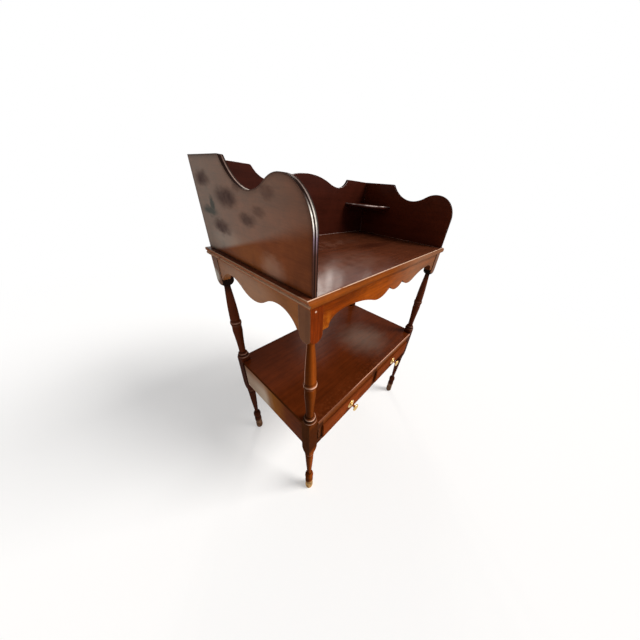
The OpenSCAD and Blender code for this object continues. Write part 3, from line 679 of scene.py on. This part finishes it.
# %% Painted light and reflections on the top
def top_light_and_reflections(tree, place, colour):
    """Painted light: the top is paler towards the front left corner, with painted reflections over it
    as clouds and a darker patch on the right.
    """
    slanted = maths(tree, "MULTIPLY", part_of(tree, place, "Y"), 1.5)
    slope = maths(tree, "ADD", part_of(tree, place, "X"), slanted)
    light_falloff = ramp(tree, maths(tree, "ADD", slope, 0.5), [(0.05, 1.25), (0.45, 0.95), (0.95, 0.6)])
    # painted light: paler towards the front left
    colour = mixed(tree, 1.0, colour, light_falloff, "MULTIPLY")
    uneven = warped(tree, place, 14.0, 0.05)
    cloud = product(tree, patch(tree, uneven, (-0.09, -0.05), (0.18, 0.10), 0.9, "XY"),
        ramp(tree, noise(tree, place, 20.0, 4.0), [(0.35, 0.1), (0.60, 1.0)]))
    behind = product(tree, patch(tree, uneven, (-0.02, 0.10), (0.20, 0.07), 0.9, "XY"),
        ramp(tree, noise(tree, place, 34.0, 4.0), [(0.42, 0.0), (0.62, 1.0)]))
    dark = product(tree, patch(tree, uneven, (0.135, 0.015), (0.12, 0.035), 0.7, "XY"), 0.7)
    # painted reflections: pale clouds
    colour = mixed(tree, cloud, colour, (0.050, 0.034, 0.026), "ADD")
    colour = mixed(tree, behind, colour, (0.040, 0.026, 0.020), "ADD")
    colour = mixed(tree, dark, colour, (0.036, 0.008, 0.004))
    return foot_dust(tree, place, colour)

# %% Painted shade, a painted reflection and flecks on the front
FRONT_SHADE = [(0.04, (0.78, 0.62, 0.3)), (0.10, (0.85, 0.75, 0.5)), (0.16, (1.15, 1.15, 0.9)),
    (0.22, 1.0), (0.36, (0.78, 0.80, 0.9))]
RIGHT_REFLECTION = [(0.24, 0.0), (0.40, 1.0), (0.52, 0.7)]

def right_reflection(tree, place):
    """How strong the painted reflection on the front is along its length: none on the left, a pale veil
    on the right.
    """
    return ramp(tree, part_of(tree, warped(tree, place, 12.0, 0.05), "X", 0.275), RIGHT_REFLECTION)

def front_shade_and_reflection(tree, place, colour):
    """Painted shade and reflection: the front apron is dark by the left leg, bright beside that, and
    veiled by a painted reflection on its right half.
    """
    # painted shade and light along the front, by FRONT_SHADE
    shade = ramp(tree, part_of(tree, place, "X", 0.3), FRONT_SHADE)
    colour = mixed(tree, 1.0, colour, shade, "MULTIPLY")
    golden = patch(tree, warped(tree, place, 30.0, 0.012), (-0.268, 0.722), (0.030, 0.030), 0.8, "XZ")
    flecks = ramp(tree, noise(tree, place, 110.0, 3.0), [(0.40, 0.25), (0.58, 0.9)])
    colour = mixed(tree, product(tree, golden, flecks), colour, (0.34, 0.085, 0.005))
    # painted reflection over the right half
    return mixed(tree, right_reflection(tree, place), colour, (0.040, 0.056, 0.044), "ADD")

# The nosings take the same painted reflection.
def nosing_reflection(tree, place, colour):
    return mixed(tree, right_reflection(tree, place), colour, (0.030, 0.054, 0.046), "ADD")

# %% The low shelf and the rails
def shelf_flecks_and_reflection(tree, place, colour):
    """Lighter in flecks along the front, and a painted reflection over the middle."""
    forward = ramp(tree, behind_front(tree, place), [(0.025, 1.0), (0.08, 0.0)])
    flecks = ramp(tree, noise(tree, place, 120.0, 4.0, 0.6), [(0.50, 0.0), (0.66, 0.45)])
    colour = mixed(tree, product(tree, forward, flecks), colour, (0.22, 0.060, 0.018))
    # painted reflection: a pale veil over the middle
    cloud = patch(tree, warped(tree, place, 14.0, 0.05), (0.13, -0.01), (0.14, 0.14), 0.9, "XY")
    return mixed(tree, cloud, colour, (0.052, 0.060, 0.051), "ADD")

def stile_shadows(tree, place, colour):
    """Painted shade: the dark shade in the gaps beside the stiles carries on down over the rail."""
    out = maths(tree, "ABSOLUTE", part_of(tree, place, "X"))
    dark = ramp(tree, out, [(0.013, 0.65), (0.017, 0.0), (0.262, 0.0), (0.266, 0.7)])
    return mixed(tree, dark, colour, (0.020, 0.006, 0.003))

# %% Front, top and shelf woods
front_orange = wood("front_orange", "X", (0.165, 0.032, 0.006), (0.40, 0.19, 0.08), polish=0.02,
    rough=0.3, figure=0.22, seed=3.1, wear=0.6, dirt_and_shade=(0.005, 0.6))
# Lit copies of the top and the shelf for their front nosings: painted light.
nosing_lit = wood("nosing_lit", "X", (0.205, 0.048, 0.006), (0.42, 0.20, 0.09), polish=0.04,
    rough=0.3, figure=0.22, seed=13.1, wear=0.6, dirt_and_shade=(0.005, 0.6), marks=nosing_reflection)
shelf_nosing_lit = wood("shelf_nosing_lit", "X", (0.150, 0.044, 0.014), (0.36, 0.17, 0.09), polish=0.06,
    rough=0.3, figure=0.22, seed=13.1, wear=0.6, dirt_and_shade=(0.004, 0.8), marks=nosing_reflection)
rail_orange = wood("rail_orange", "X", (0.155, 0.038, 0.008), (0.40, 0.19, 0.08), polish=0.03,
    rough=0.3, figure=0.16, seed=3.1, wear=0.5, dirt_and_shade=(0.004, 0.7), marks=stile_shadows)
apron_orange = wood("apron_orange", "X", (0.23, 0.045, 0.002), (0.42, 0.19, 0.06), polish=0.05,
    rough=0.3, figure=0.3, seed=12.3, wear=0.6, dirt_and_shade=(0.005, 0.45), marks=front_shade_and_reflection)
stile_end = wood("stile_end", "Z", (0.10, 0.026, 0.006), polish=0.06, seed=7.2, dirt_and_shade=(0.006, 0.25))
# Painted shade: a darker copy of the stile wood, for the sunk middle stile and the scallops' sawn
# sides.
stile_shaded = wood("stile_shaded", "Z", (0.080, 0.019, 0.005), polish=0.06, seed=7.2, dirt_and_shade=(0.004, 0.5))
top_dark = wood("top_dark", "X", (0.100, 0.026, 0.011), (0.42, 0.24, 0.14), polish=0.42, rough=0.17,
    seed=5.3, marks=top_light_and_reflections)
edge_dark = wood("edge_dark", "Y", (0.060, 0.015, 0.003), polish=0.0, seed=1.2, wear=0.2)
edge_red = wood("edge_red", "Y", (0.26, 0.085, 0.034), (0.40, 0.24, 0.16), polish=0.06, seed=1.2,
    wear=0.7)
shelf_red = wood("shelf_red", "X", (0.088, 0.016, 0.003), (0.42, 0.22, 0.11), polish=0.09,
    figure=0.14, seed=8.9, marks=shelf_flecks_and_reflection)

# %% The lit edge of the left end
LEFT_END_X = -0.311
COLOUR_OVER = [(0.08, (0.30, 0.22, 0.19)), (0.13, (0.36, 0.28, 0.25)), (0.15, (0.90, 0.75, 0.66)),
    (0.20, (0.90, 0.75, 0.66)), (0.22, (0.36, 0.25, 0.21)), (0.26, (0.14, 0.09, 0.075))]
COLOUR_DOWN = [(0.10, (0.12, 0.045, 0.026)), (0.140, (0.12, 0.050, 0.040)), (0.162, (0.30, 0.21, 0.27)),
    (0.180, (1.0, 0.93, 0.84)), (0.194, (1.0, 0.93, 0.84)), (0.207, (0.50, 0.40, 0.36)),
    (0.22, (0.30, 0.22, 0.19))]
OUTER_LINE = [(0.0, 0.0), (0.0004, 1.0), (0.0020, 1.0), (0.0027, 0.0)]
INNER_LINE = [(0.0050, 0.0), (0.0058, 1.0), (0.0072, 1.0), (0.0078, 0.1), (0.0100, 0.05)]
OUTER_DOWN = [(0.10, 0.35), (0.15, 0.6), (0.175, 1.0), (0.19, 1.0), (0.203, 0.2), (0.212, 0.0)]
OUTER_OVER = [(0.10, 0.0), (0.135, 0.6), (0.15, 1.0), (0.185, 1.0), (0.20, 0.0)]
INNER_DOWN = [(0.10, 0.7), (0.17, 0.85), (0.20, 0.6)]

def window_glint(tree, place, colour):
    """Painted reflection of the window: two bright lines along the left end's rounded edge, brightest
    where it faces the window.
    """
    height = part_of(tree, place, "Z", -0.7)
    run = behind_front(tree, place)
    inward = part_of(tree, place, "X", -LEFT_END_X)
    front = ramp(tree, run, [(0.075, 1.0), (0.085, 0.0)])
    behind = maths(tree, "SUBTRACT", 1.0, front)
    # noise breaks up the painted highlight lines
    worn = ramp(tree, noise(tree, place, 120.0, 3.0), [(0.35, 0.75), (0.6, 1.0)])
    pale = mixed(tree, front, ramp(tree, run, COLOUR_OVER), ramp(tree, height, COLOUR_DOWN))
    outer_down = product(tree, front, ramp(tree, height, OUTER_DOWN))
    outer_over = product(tree, behind, ramp(tree, run, OUTER_OVER))
    inner_down = product(tree, front, ramp(tree, height, INNER_DOWN))
    outer = product(tree, ramp(tree, inward, OUTER_LINE), maths(tree, "ADD", outer_down, outer_over))
    inner = product(tree, ramp(tree, inward, INNER_LINE), maths(tree, "ADD", inner_down, behind))
    return mixed(tree, product(tree, maths(tree, "MAXIMUM", outer, inner), worn), colour, pale)

# %% Gallery and hidden woods
gallery_inner = wood("gallery_inner", "Y", (0.070, 0.012, 0.004), polish=0.12, rough=0.3,
    seed=7.7, wear=0.3)
gallery_long = wood("gallery_long", "X", (0.042, 0.008, 0.004), polish=0.12, rough=0.3,
    seed=6.4, wear=0.3, marks=corner_dust)
gallery_edge = wood("gallery_edge", "Z", (0.030, 0.008, 0.005), polish=0.04, seed=3.3, wear=0.0)
gallery_lit = wood("gallery_lit", "Z", (0.014, 0.006, 0.004), polish=0.04, seed=3.3, wear=0.0,
    marks=window_glint)
plain_inside = wood("plain_inside", "Y", (0.30, 0.18, 0.09), (0.5, 0.36, 0.22), polish=0.02,
    rough=0.5, figure=0.2, wear=0.3, seed=4.4)
plain_across = wood("plain_across", "X", (0.30, 0.18, 0.09), (0.5, 0.36, 0.22), polish=0.02,
    rough=0.5, figure=0.2, wear=0.3, seed=5.9)
pin_wood = wood("pin_wood", "Y", (0.55, 0.36, 0.26), polish=0.05, wear=0.3, seed=9.4)

# %% Pale arrises: wear and painted highlights
FADE_IN = 0.04

def arris(name, pale, dark, cover, polish=0.0, starts=None):
    """An edge painted pale in stretches, partly wood rubbed bare and partly a painted highlight;
    between them the polish is still there.
    """
    material = bpy.data.materials.new(name)
    material.use_nodes = True
    tree = material.node_tree
    shader = tree.nodes["Principled BSDF"]
    place = add(tree, "TexCoord").outputs["Object"]
    kept = 0.5 - cover * 0.3
    bare = ramp(tree, noise(tree, place, 38.0, 4.0, 0.6), [(kept, 0.1), (kept + 0.12, 1.0)])
    if starts is not None:
        along = part_of(tree, place, "X", -starts)
        bare = product(tree, bare, ramp(tree, along, [(-FADE_IN, 0.1), (FADE_IN, 1.0)]))
    tree.links.new(mixed(tree, bare, dark, pale), shader.inputs["Base Color"])
    shader.inputs["Specular IOR Level"].default_value = 0.0
    shader.inputs["Coat Weight"].default_value = polish
    shader.inputs["Coat Roughness"].default_value = 0.3
    print("arris", name)
    return material

# The pale colours stand partly for wear, partly for painted highlights along the arrises.
gallery_arris = arris("gallery_arris", (0.95, 0.85, 0.83), (0.25, 0.16, 0.14), 0.4, 0.3)
shelf_arris = arris("shelf_arris", (0.66, 0.33, 0.23), (0.17, 0.060, 0.032), 0.9, starts=-0.12)
corner_arris = arris("corner_arris", (0.62, 0.50, 0.46), (0.09, 0.05, 0.045), 0.1, 0.2)
top_arris = arris("top_arris", (0.72, 0.48, 0.34), (0.30, 0.10, 0.03), 0.7, 0.1)
side_arris = arris("side_arris", (0.40, 0.24, 0.15), (0.10, 0.035, 0.018), 0.6)

# %% [markdown]
# ## Brass and steel
# The knobs are brass on round plates, bright where fingers touch and brown in the
# corners. The screws are dull steel and hardly ever seen.

# %% Metals
def metal(name, clean, stained, rough):
    material = bpy.data.materials.new(name)
    material.use_nodes = True
    tree = material.node_tree
    shader = tree.nodes["Principled BSDF"]
    place = add(tree, "TexCoord").outputs["Object"]
    cloud = ramp(tree, noise(tree, place, 160.0, 4.0, 0.6), [(0.4, 0.0), (0.72, 0.55)])
    corners = ramp(tree, crevices(tree, 0.004), [(0.35, 0.8), (0.85, 0.0)])
    colour = mixed(tree, maths(tree, "MAXIMUM", cloud, corners), clean, stained)
    tree.links.new(colour, shader.inputs["Base Color"])
    dull = maths(tree, "ADD", maths(tree, "MULTIPLY", cloud, 0.3), rough)
    tree.links.new(dull, shader.inputs["Roughness"])
    shader.inputs["Metallic"].default_value = 1.0
    print("metal", name)
    return material

brass = metal("brass", (0.80, 0.55, 0.20), (0.32, 0.18, 0.05), 0.22)
steel = metal("steel", (0.36, 0.35, 0.33), (0.12, 0.10, 0.08), 0.45)

# %% Put the materials on
def dress(piece, material):
    piece.data.materials.clear()
    piece.data.materials.append(material)

finish_of = {
    "leg": leg_shaded, "leg_front_left": leg_lit,
    "apron_front": apron_orange, "apron_back": top_dark, "apron_left": side_red,
    "apron_right": side_plain, "apron_pins": pin_wood,
    "tabletop": top_dark, "top_screws": steel, "glue_block": plain_inside,
    "gallery_back": gallery_long, "gallery_left": gallery_ends, "gallery_right": gallery_inner,
    "gallery_screws": steel, "corner_shelf": gallery_long,
    "low_shelf": shelf_red, "case_back": plain_across, "case_left": case_red,
    "case_right": side_plain, "rail": rail_orange, "stile": stile_end, "stile_middle": stile_shaded,
    "runner": plain_inside, "guide": plain_inside, "kicker": plain_inside,
    "drawer": plain_inside, "drawer_front": front_orange, "drawer_back": plain_across,
    "drawer_bottom": plain_across, "knob": brass, "knob_nut": steel}
for name, piece in nodes.items():
    key = max((k for k in finish_of if name.startswith(k)), key=len)
    dress(piece, finish_of[key])
    if name in soft:
        dress(soft[name], finish_of[key])
print("dressed", len(nodes), "pieces")

# %% [markdown]
# Some faces take finishes of their own, chosen face by face from where each face looks: the
# moulded edges of the top, the cut edges of the gallery and the flat faces of the leg blocks.
# Several carry painted light: the nosings are lit copies, some block faces carry painted shade
# and others painted reflections, and the rounded arrises take the pale one, partly wear and
# partly a painted highlight.

# %% Give some faces another finish
def refinish(name, material, wanted):
    mesh = soft[name].data
    mesh.materials.append(material)
    faces = [face for face in mesh.polygons if wanted(face.normal, face.center)]
    for face in faces:
        face.material_index = len(mesh.materials) - 1
    print(name, "has", len(faces), "faces of", material.name)

# %% Edges of the top and the low shelf
NOSING_DEPTH, ARRIS_DEPTH = 0.02, 0.0013
EVERYWHERE, BEHIND_NOTCH = -1.0, 0.03
EDGED = (("tabletop", edge_red, nosing_lit, top_arris, EVERYWHERE),
    ("low_shelf", edge_dark, shelf_nosing_lit, shelf_arris, BEHIND_NOTCH))
for name, edge, nosing, line, from_y in EDGED:
    points = [v.co for v in soft[name].data.vertices]
    front_y, top_z = min(p.y for p in points), max(p.z for p in points)
    refinish(name, edge, lambda n, c: n.z < 0.7)
    # the front nosing takes a lit copy of the wood: painted light
    refinish(name, nosing, lambda n, c: n.y < -0.25 and c.y < front_y + NOSING_DEPTH)
    refinish(name, side_arris, lambda n, c: abs(n.x) > 0.2 and 0.2 < n.z < 0.97 and c.y > from_y)
    # the top arris takes a pale line: partly wear, partly a painted highlight
    refinish(name, line, lambda n, c: n.y < -0.2 and 0.2 < n.z < 0.97 and c.z > top_z - ARRIS_DEPTH)

# %% Edges of the gallery
for name in ("gallery_left", "gallery_right", "gallery_back"):
    side = 1 if name == "gallery_back" else 0
    refinish(name, gallery_edge, lambda n, c: abs(n[side]) < 0.3)
    refinish(name, gallery_arris, lambda n, c: 0.3 < abs(n[side]) < 0.97 and n.z > -0.5)
refinish("gallery_left", gallery_lit, lambda n, c: abs(n.x) < 0.97 and n.z > -0.5)
refinish("gallery_left", gallery_inner, lambda n, c: n.x > 0.97)
for name in ("corner_shelf_left", "corner_shelf_right"):
    refinish(name, corner_arris, lambda n, c: n.y < 0.2 and abs(n.x) < 0.999 and 0.0 < n.z < 0.95)

# %% Painted shade on the sawn sides in the scallops of the front apron
refinish("apron_front", stile_shaded, lambda n, c: abs(n.y) < 0.5 and n.x < -0.25 and n.z < 0.3)

# %% Faces of the blocks
BLOCK_FOOT, BLOCK_SIDE, BLOCK_FRONT, BLOCK_INNER = 0.68, 0.3145, -0.165, 0.29
LOW_BLOCK = (0.29, 0.415)
# painted shade on the left face of the front left leg's low block
refinish("leg_front_left", block_low_shaded, lambda n, c: n.x < -0.9 and LOW_BLOCK[0] < c.z < LOW_BLOCK[1])
for name in [n for n in soft if n.startswith("leg")]:
    # the blocks' side faces carry the apron's painted reflections
    refinish(name, block_side,
        lambda n, c: abs(n.x) > 0.6 and abs(c.x) > BLOCK_SIDE and c.z > BLOCK_FOOT)
    if "front" in name:
        red = block_front if "left" in name else block_side
        refinish(name, red, lambda n, c: n.y < -0.9 and c.y < BLOCK_FRONT and c.z > BLOCK_FOOT)
# painted shade behind the apron on the front right block's inner side
refinish("leg_front_right", block_inner,
    lambda n, c: n.x < -0.6 and c.x < BLOCK_INNER and c.z > BLOCK_FOOT)
